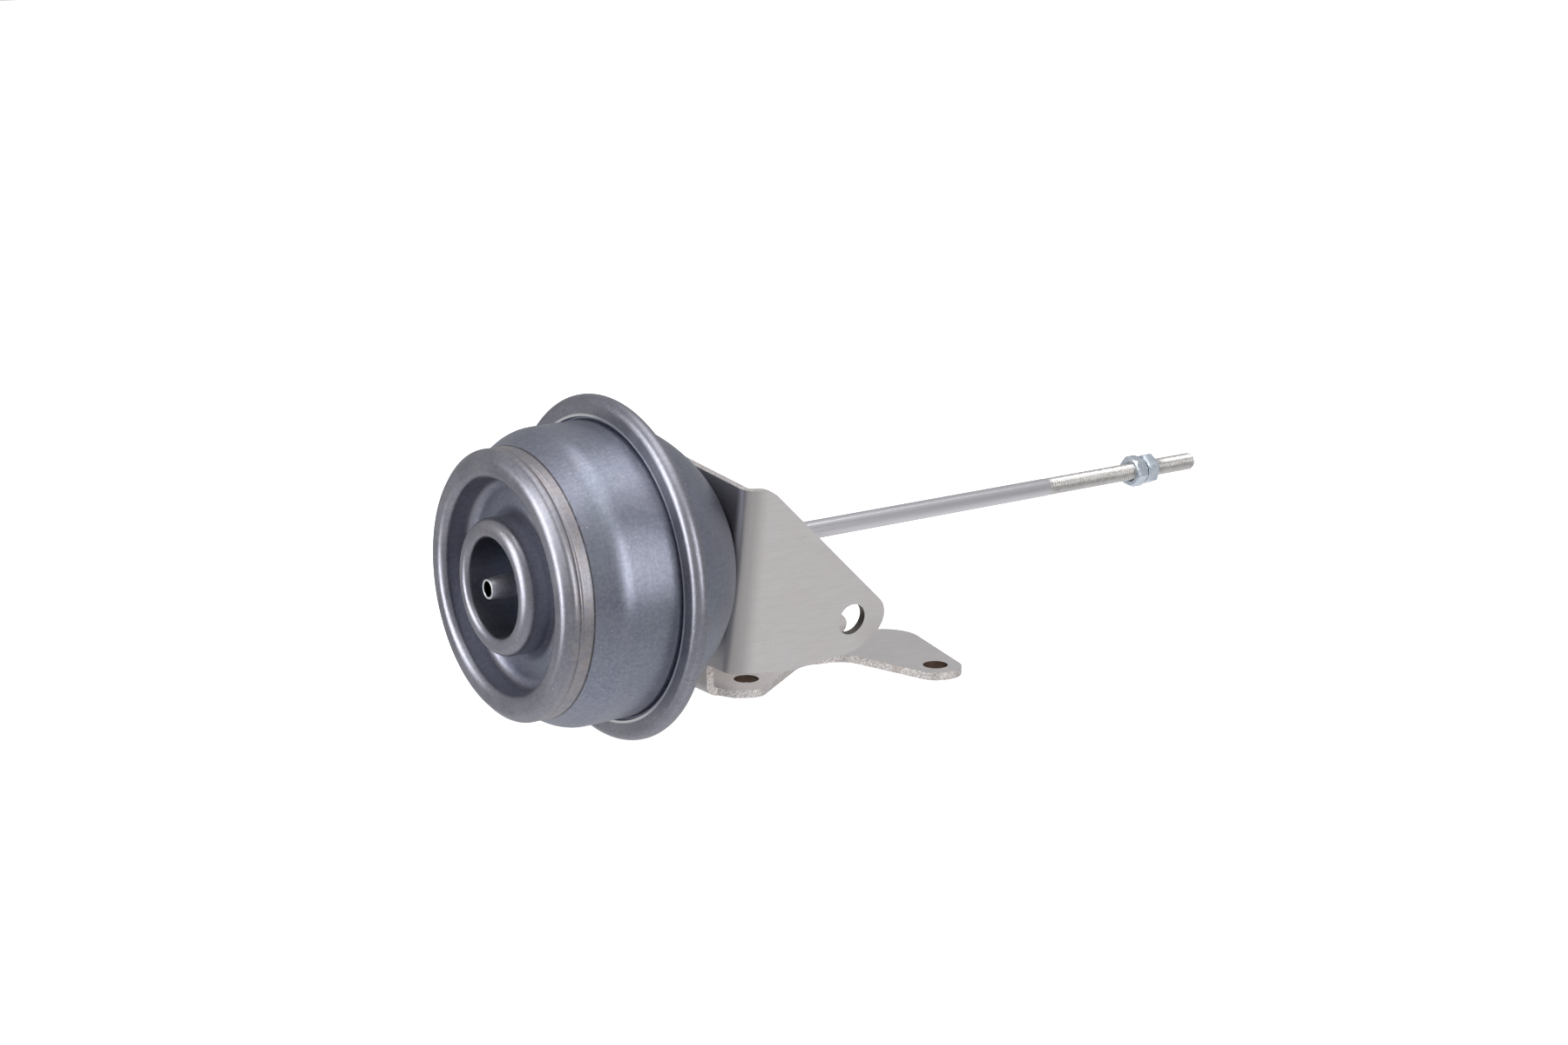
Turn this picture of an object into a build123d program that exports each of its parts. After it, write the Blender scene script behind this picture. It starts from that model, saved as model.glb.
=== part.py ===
from build123d import *

import os
from math import cos, radians, sin, sqrt, tan

os.makedirs("parts", exist_ok=True)

# Vacuum actuator of a turbocharger, in millimetres. The rod and the canister share the X axis.
# The origin is the middle of the nipple's mouth, +X points along the rod to its threaded end,
# and +Z is up, square to the bracket's lower flange.

# ---------------------------------------------------------------- driving dimensions
crimp_x = 33.4            # middle plane of the crimped rim
cover_sheet = 1.0         # sheet thickness of the front cover
housing_sheet = 1.1       # sheet thickness of the rear housing
bracket_sheet = 2.1       # sheet thickness of the bracket

# front cover, radii of the faces seen from outside
barrel_radius = 37.2
bead_outer_radius = 33.5  # also the plain band between the neck and the bead
bead_nose_radius = 31.2   # where the bead's sloping shoulder meets its front
groove_radius = 33.15     # shallow groove between the bead and the band
bead_inner_radius = 26.5
ring_outer_radius = 17.0
recess_radius = 12.3
bead_front_x = crimp_x - 31.5
bead_shoulder_x = crimp_x - 29.3
ring_front_x = crimp_x - 32.7
trough_x = crimp_x - 23.2
recess_floor_x = crimp_x - 14.0
ridge_x = crimp_x - 17.4
neck_x = crimp_x - 24.0
groove_x = crimp_x - 27.3
groove_half_width = 0.6
cover_flange_x = crimp_x - 1.2
cover_flange_radius = 41.0

# crimped rim
rim_radius = 43.4
rim_half_width = 2.3
lip_radius = 38.1

# rear housing dome, an arc whose centre lies a little off the axis
dome_radius = 40.5
dome_centre_x = crimp_x - 9.1
dome_centre_radius = -1.0
back_x = crimp_x + 26.0   # outer face of the flat back, where the bracket lies

# diaphragm
rubber_membrane = 0.9
rubber_rim = 1.4
rubber_rim_x = crimp_x - 0.2
rubber_rim_inner = 37.3
rubber_rim_outer = 41.1
hinge_outer = 35.1        # outer radius of the rolling convolution
hinge_top_x = crimp_x - 4.6

# moving stack on the rod's inner end, at rest (rod fully out)
cup_radius = 25.1
cup_sheet = 1.0
cup_floor_x = crimp_x + 17.05
cup_rim_x = crimp_x + 3.0
head_x = cup_floor_x + rubber_membrane
plate_radius = 20.0
plate_sheet = 1.2
plate_height = 3.0
shoulder_x = head_x + plate_sheet
washer_radius = 9.0
washer_sheet = 1.6
washer_x = cup_floor_x - cup_sheet - washer_sheet
tenon_radius = 2.0
rod_head_radius = 3.8
rod_head = 1.6
collar_radius = 5.0
collar_length = 2.0

# rod and thread
rod_radius = 2.5
thread_radius = 2.45
engaged_radius = 2.24     # pitch radius, used where the nuts are engaged
thread_start_x = crimp_x + 146.3
rod_end_x = crimp_x + 203.7
thread_chamfer = 0.7

# nuts, M5
nut_across_flats = 8.0
nut_height = 4.0
nut_bore_radius = 2.29
nut_gap = 0.4
inner_nut_x = crimp_x + 178.7
outer_nut_x = inner_nut_x + nut_height + nut_gap
free_thread_x = outer_nut_x + nut_height + 0.4
inner_nut_turn = 8.0
outer_nut_turn = 38.0

# guide bush and its neighbours
bush_radius = 6.0
bush_flange_radius = 7.5
bush_flange = 2.6
bush_end_x = back_x + 5.6
retainer_radius = 9.5
retainer_sheet = 1.0
bumper_inner_radius = 8.0
bumper_outer_radius = 10.3
guide_bore_radius = rod_radius + 0.05
wiper_bore_radius = rod_radius + 0.03
wiper_radius = 4.2
wiper_length = 1.6

# spring
wire_radius = 1.6
spring_radius = 21.5
spring_turns = 5
seat_sheet = 0.8
seat_inner_radius = 19.2
seat_outer_radius = 24.6
seat_collar = 4.0
coil_clearance = 0.05

# nipple
nipple_bore_radius = 1.85
nipple_tip_radius = 2.45
barb_radius = 3.0
barb_step = 0.3           # length of the step from the barb down to the neck
barb_start_x = 4.6
barb_end_x = 6.4
nipple_neck_radius = 2.65
nipple_end_x = recess_floor_x + cover_sheet + 1.2
braze_reach = 1.3

# bracket
ear_tilt = 8.5            # how far the near ear leans, degrees about X
ear_distance = 20.1       # distance of the near ear's outer face from the rod's axis
bolt_hole_radius = 3.3
stud_hole_radius = 4.2
lower_top_z = -35.3
lower_bottom_z = lower_top_z - bracket_sheet
far_ear_y = 18.6
bend_outer = 3.4
bend_inner = bend_outer - bracket_sheet
plate_x = back_x + bracket_sheet
near_top = 23.5           # the near ear's ends along its bend
near_bottom = -25.8
far_top = 14.5
far_bottom = -36.6
strip_near_y = -6.0       # the strip that turns into the lower flange
strip_far_y = 13.6
relief_y = far_ear_y - bend_outer - 0.4
relief_top_z = -31.0
bend_end_x = back_x + bend_outer
side_hole = (crimp_x + 64.0, -17.65)
bolt_holes = ((crimp_x + 39.6, -4.3), (crimp_x + 86.9, -23.9))
rivet_circle = 13.8
rivet_radius = 2.0
rivet_head_radius = 3.2
rivet_head = 1.5


# ---------------------------------------------------------------- helpers
def turned(*points):
    """Turn a closed outline of (x, radius) points about the X axis."""
    with BuildSketch(Plane.XZ) as outline:
        with BuildLine():
            Polyline(*points, close=True)
        make_face()
    return revolve(outline.sketch, axis=Axis.X)


def tube(x0, x1, inner, outer):
    """A plain ring or tube along the X axis; inner is 0 for a solid bar."""
    return turned((x0, inner), (x1, inner), (x1, outer), (x0, outer))


def finish(part, name):
    """Label a finished sub-part and write its STEP file."""
    part.label = name
    export_step(part, f"parts/{name}.step")
    print(name, "solids", len(part.solids()), "volume", round(part.volume, 1))


# ---------------------------------------------------------------- front cover
# One drawn sheet: flange, barrel, shoulder, front bead, trough, inner ring and recess.
with BuildPart() as front_cover:
    with BuildSketch(Plane.XZ) as section:
        with BuildLine():
            FilletPolyline(
                (cover_flange_x, cover_flange_radius),
                (cover_flange_x, barrel_radius),
                (ridge_x, barrel_radius),
                (neck_x, bead_outer_radius),
                (groove_x + groove_half_width, bead_outer_radius),
                (groove_x, groove_radius),
                (groove_x - groove_half_width, bead_outer_radius),
                (bead_shoulder_x, bead_outer_radius),
                (bead_front_x, bead_nose_radius),
                (bead_front_x, bead_inner_radius),
                (trough_x, bead_inner_radius),
                (trough_x, ring_outer_radius),
                (ring_front_x, ring_outer_radius),
                (ring_front_x, recess_radius),
                (recess_floor_x, recess_radius),
                (recess_floor_x, nipple_neck_radius),
                radius=[0.4, 10.0, 0.4, 1.25, 0.7, 1.25, 1.8, 2.6, 2.2, 2.8, 2.8, 2.8, 1.6, 1.5],
            )
            offset(amount=cover_sheet, side=Side.LEFT)
        make_face()
    revolve(axis=Axis.X)
finish(front_cover.part, "front_cover")

# ---------------------------------------------------------------- rear housing
# One drawn sheet: folded lip, rim, flange, dome and flat back with a hole for the guide bush.
dome_start_x = crimp_x + rim_half_width
dome_start_radius = dome_centre_radius + sqrt(dome_radius**2 - (dome_start_x - dome_centre_x) ** 2)
dome_end_radius = dome_centre_radius + sqrt(dome_radius**2 - (back_x - dome_centre_x) ** 2)
dome_mid_x = (dome_start_x + back_x) / 2
dome_mid_radius = dome_centre_radius + sqrt(dome_radius**2 - (dome_mid_x - dome_centre_x) ** 2)
rivet_places = PolarLocations(rivet_circle, 3, start_angle=90)
with BuildPart() as rear_housing:
    with BuildSketch(Plane.XZ) as section:
        with BuildLine() as wall:
            FilletPolyline(
                (crimp_x - rim_half_width, lip_radius),
                (crimp_x - rim_half_width, rim_radius),
                (dome_start_x, rim_radius),
                (dome_start_x, dome_start_radius),
                radius=[rim_half_width - 0.05, rim_half_width - 0.05],
            )
            ThreePointArc(
                (dome_start_x, dome_start_radius),
                (dome_mid_x, dome_mid_radius),
                (back_x, dome_end_radius),
            )
            Line((back_x, dome_end_radius), (back_x, bush_radius))
            flange_corner = wall.vertices().sort_by_distance((dome_start_x, 0, dome_start_radius))[0]
            back_corner = wall.vertices().sort_by_distance((back_x, 0, dome_end_radius))[0]
            fillet(flange_corner, radius=1.0)
            fillet(back_corner, radius=3.0)
            offset(amount=housing_sheet, side=Side.RIGHT)
        make_face()
    revolve(axis=Axis.X)
    with BuildSketch(Plane.YZ.offset(back_x)):
        with rivet_places:
            Circle(rivet_radius)
    extrude(amount=-2 * housing_sheet, mode=Mode.SUBTRACT)
finish(rear_housing.part, "rear_housing")

# ---------------------------------------------------------------- vacuum nipple and its braze
with BuildPart() as vacuum_nipple:
    turned(
        (0, nipple_bore_radius),
        (0, nipple_tip_radius),
        (barb_start_x, barb_radius),
        (barb_end_x, barb_radius),
        (barb_end_x + barb_step, nipple_neck_radius),
        (nipple_end_x, nipple_neck_radius),
        (nipple_end_x, nipple_bore_radius),
    )
finish(vacuum_nipple.part, "vacuum_nipple")

with BuildPart() as nipple_braze:
    turned(
        (recess_floor_x, nipple_neck_radius),
        (recess_floor_x, nipple_neck_radius + braze_reach),
        (recess_floor_x - 0.4, nipple_neck_radius + braze_reach / 2),
        (recess_floor_x - 1.4, nipple_neck_radius),
    )
finish(nipple_braze.part, "nipple_braze")

# ---------------------------------------------------------------- diaphragm
# Clamped rim, one rolling convolution that bulges towards the vacuum side, sleeve and head.
sleeve_radius = cup_radius + 0.05 + rubber_membrane
membrane_x = rubber_rim_x + 1.15
with BuildPart() as diaphragm:
    with BuildSketch(Plane.XZ) as section:
        with BuildLine():
            FilletPolyline(
                (membrane_x, rubber_rim_inner + 0.2),
                (membrane_x, hinge_outer),
                (hinge_top_x, hinge_outer),
                (hinge_top_x, sleeve_radius),
                (head_x, sleeve_radius),
                (head_x, tenon_radius),
                radius=[1.6, 4.2, 4.2, 4.95],
            )
            offset(amount=rubber_membrane, side=Side.RIGHT)
        make_face()
    revolve(axis=Axis.X)
    tube(rubber_rim_x, rubber_rim_x + rubber_rim, rubber_rim_inner, rubber_rim_outer)
finish(diaphragm.part, "diaphragm")

# ---------------------------------------------------------------- pieces clamped on the rod's tenon
with BuildPart() as piston_cup:
    with BuildSketch(Plane.XZ) as section:
        with BuildLine():
            FilletPolyline(
                (cup_rim_x, cup_radius),
                (cup_floor_x, cup_radius),
                (cup_floor_x, tenon_radius),
                radius=4.0,
            )
            offset(amount=cup_sheet, side=Side.RIGHT)
        make_face()
    revolve(axis=Axis.X)
finish(piston_cup.part, "piston_cup")

with BuildPart() as diaphragm_plate:
    with BuildSketch(Plane.XZ) as section:
        with BuildLine():
            FilletPolyline(
                (head_x, tenon_radius),
                (head_x, plate_radius),
                (head_x + plate_height, plate_radius),
                radius=2.0,
            )
            offset(amount=plate_sheet, side=Side.RIGHT)
        make_face()
    revolve(axis=Axis.X)
finish(diaphragm_plate.part, "diaphragm_plate")

with BuildPart() as clamp_washer:
    tube(washer_x, washer_x + washer_sheet, tenon_radius, washer_radius)
finish(clamp_washer.part, "clamp_washer")

with BuildPart() as rod_collar:
    tube(shoulder_x, shoulder_x + collar_length, rod_radius, collar_radius)
    chamfer(edges().filter_by(GeomType.CIRCLE).sort_by(Axis.X)[-1], length=0.4)
finish(rod_collar.part, "rod_collar")

# ---------------------------------------------------------------- actuator rod
# Riveted head, tenon, plain shank and the M5 thread at its crests, with a chamfered end.
# Under the nuts the thread is at its pitch radius, where the two threads meet.
with BuildPart() as actuator_rod:
    turned(
        (washer_x - rod_head, 0),
        (washer_x - rod_head, rod_head_radius - 1.2),
        (washer_x - rod_head / 2, rod_head_radius),
        (washer_x, rod_head_radius),
        (washer_x, tenon_radius),
        (shoulder_x, tenon_radius),
        (shoulder_x, rod_radius),
        (thread_start_x - 0.6, rod_radius),
        (thread_start_x, thread_radius),
        (inner_nut_x - 0.1, thread_radius),
        (inner_nut_x - 0.1, engaged_radius),
        (free_thread_x, engaged_radius),
        (free_thread_x, thread_radius),
        (rod_end_x - thread_chamfer, thread_radius),
        (rod_end_x, thread_radius - thread_chamfer),
        (rod_end_x, 0),
    )
finish(actuator_rod.part, "actuator_rod")


# ---------------------------------------------------------------- nuts
def nut(start_x, turn, name):
    """A hexagon nut with 30 degree chamfers on both faces, bored to run on the thread."""
    corner_radius = nut_across_flats / 2 / cos(radians(30))
    face_radius = nut_across_flats / 2 * 0.97
    chamfer_depth = (corner_radius - face_radius) * tan(radians(30))
    with BuildPart() as hexagon:
        with BuildSketch(Plane.YZ.offset(start_x)) as outline:
            RegularPolygon(corner_radius, 6, rotation=turn)
        extrude(outline.sketch, amount=nut_height)
    with BuildPart() as envelope:
        turned(
            (start_x, nut_bore_radius),
            (start_x, face_radius),
            (start_x + chamfer_depth, corner_radius),
            (start_x + nut_height - chamfer_depth, corner_radius),
            (start_x + nut_height, face_radius),
            (start_x + nut_height, nut_bore_radius),
        )
        add(hexagon.part, mode=Mode.INTERSECT)
    finish(envelope.part, name)


nut(inner_nut_x, inner_nut_turn, "inner_nut")
nut(outer_nut_x, outer_nut_turn, "outer_nut")

# ---------------------------------------------------------------- return spring and its seat
seat_x = trough_x + cover_sheet
with BuildPart() as spring_seat:
    turned(
        (seat_x, seat_inner_radius),
        (seat_x, seat_outer_radius),
        (seat_x + seat_sheet, seat_outer_radius),
        (seat_x + seat_sheet, seat_inner_radius + 0.6),
        (seat_x + seat_collar, seat_inner_radius + 0.6),
        (seat_x + seat_collar, seat_inner_radius),
    )
finish(spring_seat.part, "spring_seat")

coil_start_x = seat_x + seat_sheet + wire_radius + coil_clearance
coil_end_x = cup_floor_x - cup_sheet - wire_radius - coil_clearance
coil_length = coil_end_x - coil_start_x
with BuildPart() as return_spring:
    with BuildLine() as coil:
        Helix(
            pitch=coil_length / spring_turns,
            height=coil_length,
            radius=spring_radius,
            center=(coil_start_x, 0, 0),
            direction=(1, 0, 0),
        )
    with BuildSketch(Plane(origin=coil.line @ 0, z_dir=coil.line % 0)):
        Circle(wire_radius)
    sweep(path=coil.line, is_frenet=True)
finish(return_spring.part, "return_spring")

# ---------------------------------------------------------------- rod guide on the rear housing
back_inner_x = back_x - housing_sheet
with BuildPart() as guide_bush:
    turned(
        (back_inner_x - bush_flange, guide_bore_radius),
        (back_inner_x - bush_flange, bush_flange_radius),
        (back_inner_x, bush_flange_radius),
        (back_inner_x, bush_radius),
        (bush_end_x, bush_radius),
        (bush_end_x, wiper_radius),
        (bush_end_x - wiper_length, wiper_radius),
        (bush_end_x - wiper_length, guide_bore_radius),
    )
finish(guide_bush.part, "guide_bush")

with BuildPart() as dust_wiper:
    tube(bush_end_x - wiper_length, bush_end_x, wiper_bore_radius, wiper_radius)
finish(dust_wiper.part, "dust_wiper")

with BuildPart() as bush_retainer:
    tube(plate_x, plate_x + retainer_sheet, bush_radius, retainer_radius)
finish(bush_retainer.part, "bush_retainer")

with BuildPart() as stop_bumper:
    tube(shoulder_x, back_inner_x, bumper_inner_radius, bumper_outer_radius)
finish(stop_bumper.part, "stop_bumper")

# ---------------------------------------------------------------- bracket
# A bent sheet: base plate on the housing's back, a leaning near ear with one large hole, a
# horizontal lower flange with two bolt holes, and a plain far ear that stiffens it.
lean_sin = sin(radians(ear_tilt))
lean_cos = cos(radians(ear_tilt))


def near_bend(height):
    """(y, z) of a point on the near bend, at a height measured along the leaning ear."""
    return (-ear_distance * lean_cos - height * lean_sin, -ear_distance * lean_sin + height * lean_cos)


step_z = near_bend(near_bottom)[1]
ear_plane = Plane(
    origin=(0, *near_bend(0)),
    x_dir=(1, 0, 0),
    z_dir=(0, -lean_cos, -lean_sin),
)

# One plane at the start of each bend's outer corner, with its Z along the bend.
near_corner = Plane(
    origin=(back_x, *near_bend(near_bottom - 1)),
    x_dir=(1, 0, 0),
    z_dir=(0, -lean_sin, lean_cos),
)
lower_corner = Plane(origin=(back_x, strip_far_y + 0.5, lower_bottom_z), x_dir=(1, 0, 0), z_dir=(0, -1, 0))
far_corner = Plane(origin=(back_x, far_ear_y, far_top + 1), x_dir=(1, 0, 0), z_dir=(0, 0, -1))
outer_corners = (
    (near_corner, near_top - near_bottom + 2),
    (lower_corner, strip_far_y - strip_near_y + 1),
    (far_corner, far_top - far_bottom + 2),
)

with BuildPart() as bracket:
    with BuildSketch(Plane.YZ.offset(back_x)) as base_outline:
        with BuildLine():
            FilletPolyline(
                near_bend(near_bottom),
                near_bend(near_top),
                (10.0, 24.0),
                (far_ear_y - bend_outer, far_top),
                (far_ear_y, far_top),
                (far_ear_y, far_bottom),
                (relief_y, far_bottom),
                (relief_y, relief_top_z),
                (strip_far_y, relief_top_z),
                (strip_far_y, lower_bottom_z),
                (strip_near_y, lower_bottom_z),
                (strip_near_y, step_z),
                radius=[0, 0, 8.0, 2.0, 0, 0, 0, 0.5, 0.5, 0, 0, 1.0],
                close=True,
            )
        make_face()
    extrude(amount=bracket_sheet)
    with BuildSketch(ear_plane) as near_outline:
        with BuildLine():
            FilletPolyline(
                (back_x, near_bottom),
                (back_x, near_top),
                (crimp_x + 34.6, 22.3),
                (crimp_x + 78.2, -18.4),
                (crimp_x + 67.0, -27.1),
                (crimp_x + 44.0, -28.6),
                radius=[0, 0, 8.0, 6.3, 12.0, 20.0],
                close=True,
            )
        make_face()
        with Locations(side_hole):
            Circle(stud_hole_radius, mode=Mode.SUBTRACT)
    extrude(amount=-bracket_sheet)
    with BuildSketch(Plane.XY.offset(lower_bottom_z)) as lower_outline:
        with BuildLine():
            FilletPolyline(
                (back_x, strip_near_y),
                (bend_end_x, strip_near_y),
                (crimp_x + 31.5, -10.5),
                (crimp_x + 37.4, -14.0),
                (crimp_x + 61.3, 1.3),
                (crimp_x + 73.6, -2.2),
                (crimp_x + 81.6, -31.0),
                (crimp_x + 92.0, -31.0),
                (crimp_x + 103.2, 11.5),
                (crimp_x + 60.0, strip_far_y),
                (back_x, strip_far_y),
                radius=[0, 1.0, 3.0, 4.0, 9.0, 7.0, 6.5, 6.5, 10.0, 30.0, 0],
                close=True,
            )
        make_face()
        with Locations(*bolt_holes):
            Circle(bolt_hole_radius, mode=Mode.SUBTRACT)
    extrude(amount=bracket_sheet)
    with BuildSketch(Plane.XZ.offset(-far_ear_y)) as far_outline:
        with BuildLine():
            FilletPolyline(
                (back_x, far_bottom),
                (back_x, far_top),
                (crimp_x + 41.4, far_top),
                (crimp_x + 92.5, far_bottom),
                radius=[0, 0, 8.0, 2.8],
                close=True,
            )
        make_face()
    extrude(amount=bracket_sheet)
    inner_bends = (
        (plate_x, near_bend(0)[0] + bracket_sheet, near_bend(0)[1]),
        (plate_x, 4.0, lower_top_z),
        (plate_x, far_ear_y - bracket_sheet, -10.0),
    )
    fillet([bracket.edges().sort_by_distance(point)[0] for point in inner_bends], radius=bend_inner)
    for corner_plane, corner_length in outer_corners:
        with BuildSketch(corner_plane):
            Rectangle(2 * bend_outer, 2 * bend_outer)
            with Locations((bend_outer, bend_outer)):
                Circle(bend_outer, mode=Mode.SUBTRACT)
        extrude(amount=corner_length, mode=Mode.SUBTRACT)
    with BuildSketch(Plane.YZ.offset(back_x)):
        Circle(bush_radius + 0.05)
        with rivet_places:
            Circle(rivet_radius)
    extrude(amount=bracket_sheet, mode=Mode.SUBTRACT)
finish(bracket.part, "bracket")

# ---------------------------------------------------------------- rivets
# Three rivets hold the bracket on the housing's back; one node, three solids.
with BuildPart() as bracket_rivets:
    with BuildSketch(Plane.YZ.offset(back_inner_x - rivet_head)) as inner_heads:
        with rivet_places:
            Circle(rivet_head_radius)
    extrude(inner_heads.sketch, amount=rivet_head)
    with BuildSketch(Plane.YZ.offset(back_inner_x)) as shanks:
        with rivet_places:
            Circle(rivet_radius)
    extrude(shanks.sketch, amount=plate_x - back_inner_x)
    with BuildSketch(Plane.YZ.offset(plate_x)) as outer_heads:
        with rivet_places:
            Circle(rivet_head_radius)
    extrude(outer_heads.sketch, amount=rivet_head)
finish(bracket_rivets.part, "bracket_rivets")
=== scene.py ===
import math

import bmesh
import bpy
from mathutils import Matrix, Vector
from mathutils.geometry import tessellate_polygon


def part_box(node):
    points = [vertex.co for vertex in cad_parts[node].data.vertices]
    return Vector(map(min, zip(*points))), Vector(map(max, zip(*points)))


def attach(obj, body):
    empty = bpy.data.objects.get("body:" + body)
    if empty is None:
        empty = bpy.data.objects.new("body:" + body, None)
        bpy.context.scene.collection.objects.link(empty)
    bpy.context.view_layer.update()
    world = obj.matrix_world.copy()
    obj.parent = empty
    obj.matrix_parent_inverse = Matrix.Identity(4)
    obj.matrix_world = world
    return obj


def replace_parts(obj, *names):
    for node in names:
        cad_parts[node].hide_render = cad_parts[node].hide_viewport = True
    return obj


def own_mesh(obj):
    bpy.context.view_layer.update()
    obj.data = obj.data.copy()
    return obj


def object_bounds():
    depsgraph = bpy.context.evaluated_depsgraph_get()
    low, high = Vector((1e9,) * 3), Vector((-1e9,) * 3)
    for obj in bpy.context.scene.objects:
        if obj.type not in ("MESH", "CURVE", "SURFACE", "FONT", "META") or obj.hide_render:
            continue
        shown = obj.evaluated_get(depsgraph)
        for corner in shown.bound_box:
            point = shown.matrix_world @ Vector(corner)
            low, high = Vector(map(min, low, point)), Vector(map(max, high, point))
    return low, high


# A turbocharger's vacuum actuator: a crimped canister of two shells with a hose nipple in its front, a bent
# sheet bracket riveted to its back, and a rod that slides along X and carries two nuts on its thread.

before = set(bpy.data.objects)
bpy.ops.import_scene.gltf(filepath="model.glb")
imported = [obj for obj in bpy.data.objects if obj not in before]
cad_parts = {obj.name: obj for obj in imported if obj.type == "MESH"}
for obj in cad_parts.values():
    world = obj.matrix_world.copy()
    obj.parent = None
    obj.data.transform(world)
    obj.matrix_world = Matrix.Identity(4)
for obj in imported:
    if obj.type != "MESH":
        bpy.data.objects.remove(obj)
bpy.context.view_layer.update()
MM = 0.001


def low(node, axis):
    """Lowest coordinate of a CAD node along axis 0, 1 or 2, in millimetres."""
    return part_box(node)[0][axis] / MM


def high(node, axis):
    """Highest coordinate of a CAD node along axis 0, 1 or 2, in millimetres."""
    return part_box(node)[1][axis] / MM


# ================================================================ sizes and places, in millimetres
crimp_half = 2.3
crimp_x = low("rear_housing", 0) + crimp_half
rim_radius = high("rear_housing", 2)
lip_radius = 38.1
shell_sheet = 1.1
dome_radius, dome_centre_x, dome_centre_radius = 40.5, crimp_x - 9.1, -1.0

cover_sheet = 1.0
cover_front_x = low("front_cover", 0)
cover_flange_x = crimp_x - 1.2
barrel_radius, taper_x = 37.2, crimp_x - 17.4
neck_x = crimp_x - 24.0
bead_radius, bead_nose_radius, bead_inner_radius = 33.5, 31.2, 26.5
bead_shoulder_x, bead_front_x = crimp_x - 29.3, crimp_x - 31.5
groove_x, groove_half, groove_radius = crimp_x - 27.3, 0.6, 33.15
trough_x = crimp_x - 23.2
ring_front_x, ring_radius, recess_radius = crimp_x - 32.7, 17.0, 12.3
recess_x = crimp_x - 14.0

nipple_start, nipple_end = low("vacuum_nipple", 0), high("vacuum_nipple", 0)
nipple_bore_radius, nipple_neck_radius, nipple_tip_radius, barb_radius = 1.85, 2.65, 2.45, 3.0

back_x = low("bracket", 0)
sheet = 2.1
plate_x = back_x + sheet
under_z = low("bracket", 2)
far_y = high("bracket", 1)
bend = 3.4
bend_x = back_x + bend
lean_sin, lean_cos = math.sin(math.radians(8.5)), math.cos(math.radians(8.5))
ear_distance = 20.1
ear_top, ear_bottom = 23.5, -25.8
ear_hole_x, ear_hole_height, ear_hole_radius = crimp_x + 64.0, -17.65, 4.2
bolt_holes = [(crimp_x + 39.6, -4.3), (crimp_x + 86.9, -23.9)]
bolt_hole_radius = 3.3
foot_left, foot_right = -6.0, 13.6
far_top, far_bottom = 14.5, -36.6

inner_x = back_x - shell_sheet
rivet_circle, shank_radius = 13.8, 1.98
bush_radius, wiper_depth = 6.0, 1.6
bush_end = high("guide_bush", 0)

rod_start, rod_end = low("actuator_rod", 0), high("actuator_rod", 0)
rod_radius, tenon_radius, thread_radius = 2.5, 2.0, 2.45
thread_start = rod_end - 57.4
tip_chamfer = 0.7
thread_pitch = 0.8
nut_flat = 4.0
nut_bore_radius, countersink_radius = 2.52, 2.95

wire_radius, spring_turns, rod_travel = 1.6, 5, 12.0


# ================================================================ mesh helpers, in millimetres
def rounded(corners, radii, step=6.0):
    """Points along a line whose corners are rounded; radii has one entry for each inner corner."""
    points = [Vector(corners[0])]
    for i in range(1, len(corners) - 1):
        before, at, after = (Vector(corners[k]) for k in (i - 1, i, i + 1))
        points += arc_at(before, at, after, radii[i - 1], step)
    points.append(Vector(corners[-1]))
    return [tuple(p) for p in points]


def rounded_loop(corners, radii, step=6.0):
    """Points round a closed outline whose corners are rounded; one radius for each corner."""
    points = []
    count = len(corners)
    for i in range(count):
        before, at, after = (Vector(corners[k % count]) for k in (i - 1, i, i + 1))
        points += arc_at(before, at, after, radii[i], step)
    return [tuple(p) for p in points]


def arc_at(before, at, after, radius, step):
    """The arc that rounds one corner, or the corner itself when radius is 0."""
    if radius <= 0:
        return [at]
    to_before = (before - at).normalized()
    to_after = (after - at).normalized()
    half = to_before.angle(to_after) / 2
    turn = math.pi - 2 * half
    if turn < 0.01:
        return [at]
    centre = at + (to_before + to_after).normalized() * (radius / math.sin(half))
    first = at + to_before * (radius / math.tan(half)) - centre
    last = at + to_after * (radius / math.tan(half)) - centre
    count = max(3, int(math.degrees(turn) / step) + 1)
    points = []
    for k in range(count + 1):
        t = k / count
        a = math.sin((1 - t) * turn) / math.sin(turn)
        b = math.sin(t * turn) / math.sin(turn)
        points.append(centre + first * a + last * b)
    return points


def circle_loop(centre, radius, count=72):
    """Points round a circle."""
    points = []
    for k in range(count):
        angle = 2 * math.pi * k / count
        points.append((centre[0] + radius * math.cos(angle), centre[1] + radius * math.sin(angle)))
    return points


def shifted(path, amount):
    """The same line moved sideways, to the left of its direction for a positive amount."""
    normals = []
    for a, b in zip(path[:-1], path[1:]):
        d = (Vector(b) - Vector(a)).normalized()
        normals.append(Vector((-d.y, d.x)))
    out = []
    for i, p in enumerate(path):
        n0 = normals[max(i - 1, 0)]
        n1 = normals[min(i, len(normals) - 1)]
        m = (n0 + n1).normalized()
        out.append(tuple(Vector(p) + m * (amount / max(m.dot(n0), 0.5))))
    return out


def edge_round(a, b, depth=0.45, count=6):
    """Points of a rounded sheet edge that runs from outline point a to outline point b."""
    a, b = Vector(a), Vector(b)
    middle = (a + b) / 2
    across = (b - a) / 2
    outwards = Vector((across.y, -across.x)) * depth
    points = []
    for k in range(1, count):
        t = math.pi * k / count
        points.append(tuple(middle - across * math.cos(t) + outwards * math.sin(t)))
    return points


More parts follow.
